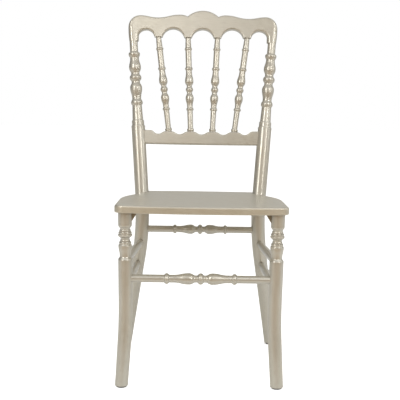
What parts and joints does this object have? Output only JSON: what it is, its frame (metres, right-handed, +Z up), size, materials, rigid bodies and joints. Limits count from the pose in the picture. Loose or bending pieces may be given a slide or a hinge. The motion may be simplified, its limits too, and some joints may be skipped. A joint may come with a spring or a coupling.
{
  "type": "napoleon chair",
  "caption": "Lacquered wooden banquet dining chair with turned legs, raked turned back posts, fanned spindles under an arched crest rail, and a flat seat.",
  "frame": {"origin": "on the floor under the middle of the chair's box", "axes": "+Z up, -Y the way a sitter faces, +X to the right of someone who stands in front of the chair"},
  "size_m": [0.4442, 0.4569, 0.9403],
  "materials": {
    "lacquered_wood": "champagne pearl lacquer, semi-gloss, over beech",
    "glide_plastic": "dark moulded plastic",
    "screw_steel": "zinc-plated steel"
  },
  "bodies": {
    "root": {"seat_board": "lacquered_wood", "crest_rail": "lacquered_wood", "lower_back_rail": "lacquered_wood", "front_stretcher": "lacquered_wood", "rear_stretcher": "lacquered_wood", "seat_screw_plugs": "lacquered_wood", "back_post_left": "lacquered_wood", "back_post_right": "lacquered_wood", "front_leg_left": "lacquered_wood", "front_leg_right": "lacquered_wood", "corner_block_left": "lacquered_wood", "corner_block_right": "lacquered_wood", "side_stretcher_upper_left": "lacquered_wood", "side_stretcher_upper_right": "lacquered_wood", "side_stretcher_lower_left": "lacquered_wood", "side_stretcher_lower_right": "lacquered_wood", "back_spindle_1": "lacquered_wood", "back_spindle_2": "lacquered_wood", "back_spindle_3": "lacquered_wood", "back_spindle_4": "lacquered_wood", "foot_glide_front_left": "glide_plastic", "foot_glide_front_right": "glide_plastic", "foot_glide_rear_left": "glide_plastic", "foot_glide_rear_right": "glide_plastic", "corner_block_screws": "screw_steel", "seat_screws": "screw_steel", "glide_nails": "screw_steel"}
  },
  "joints": []
}
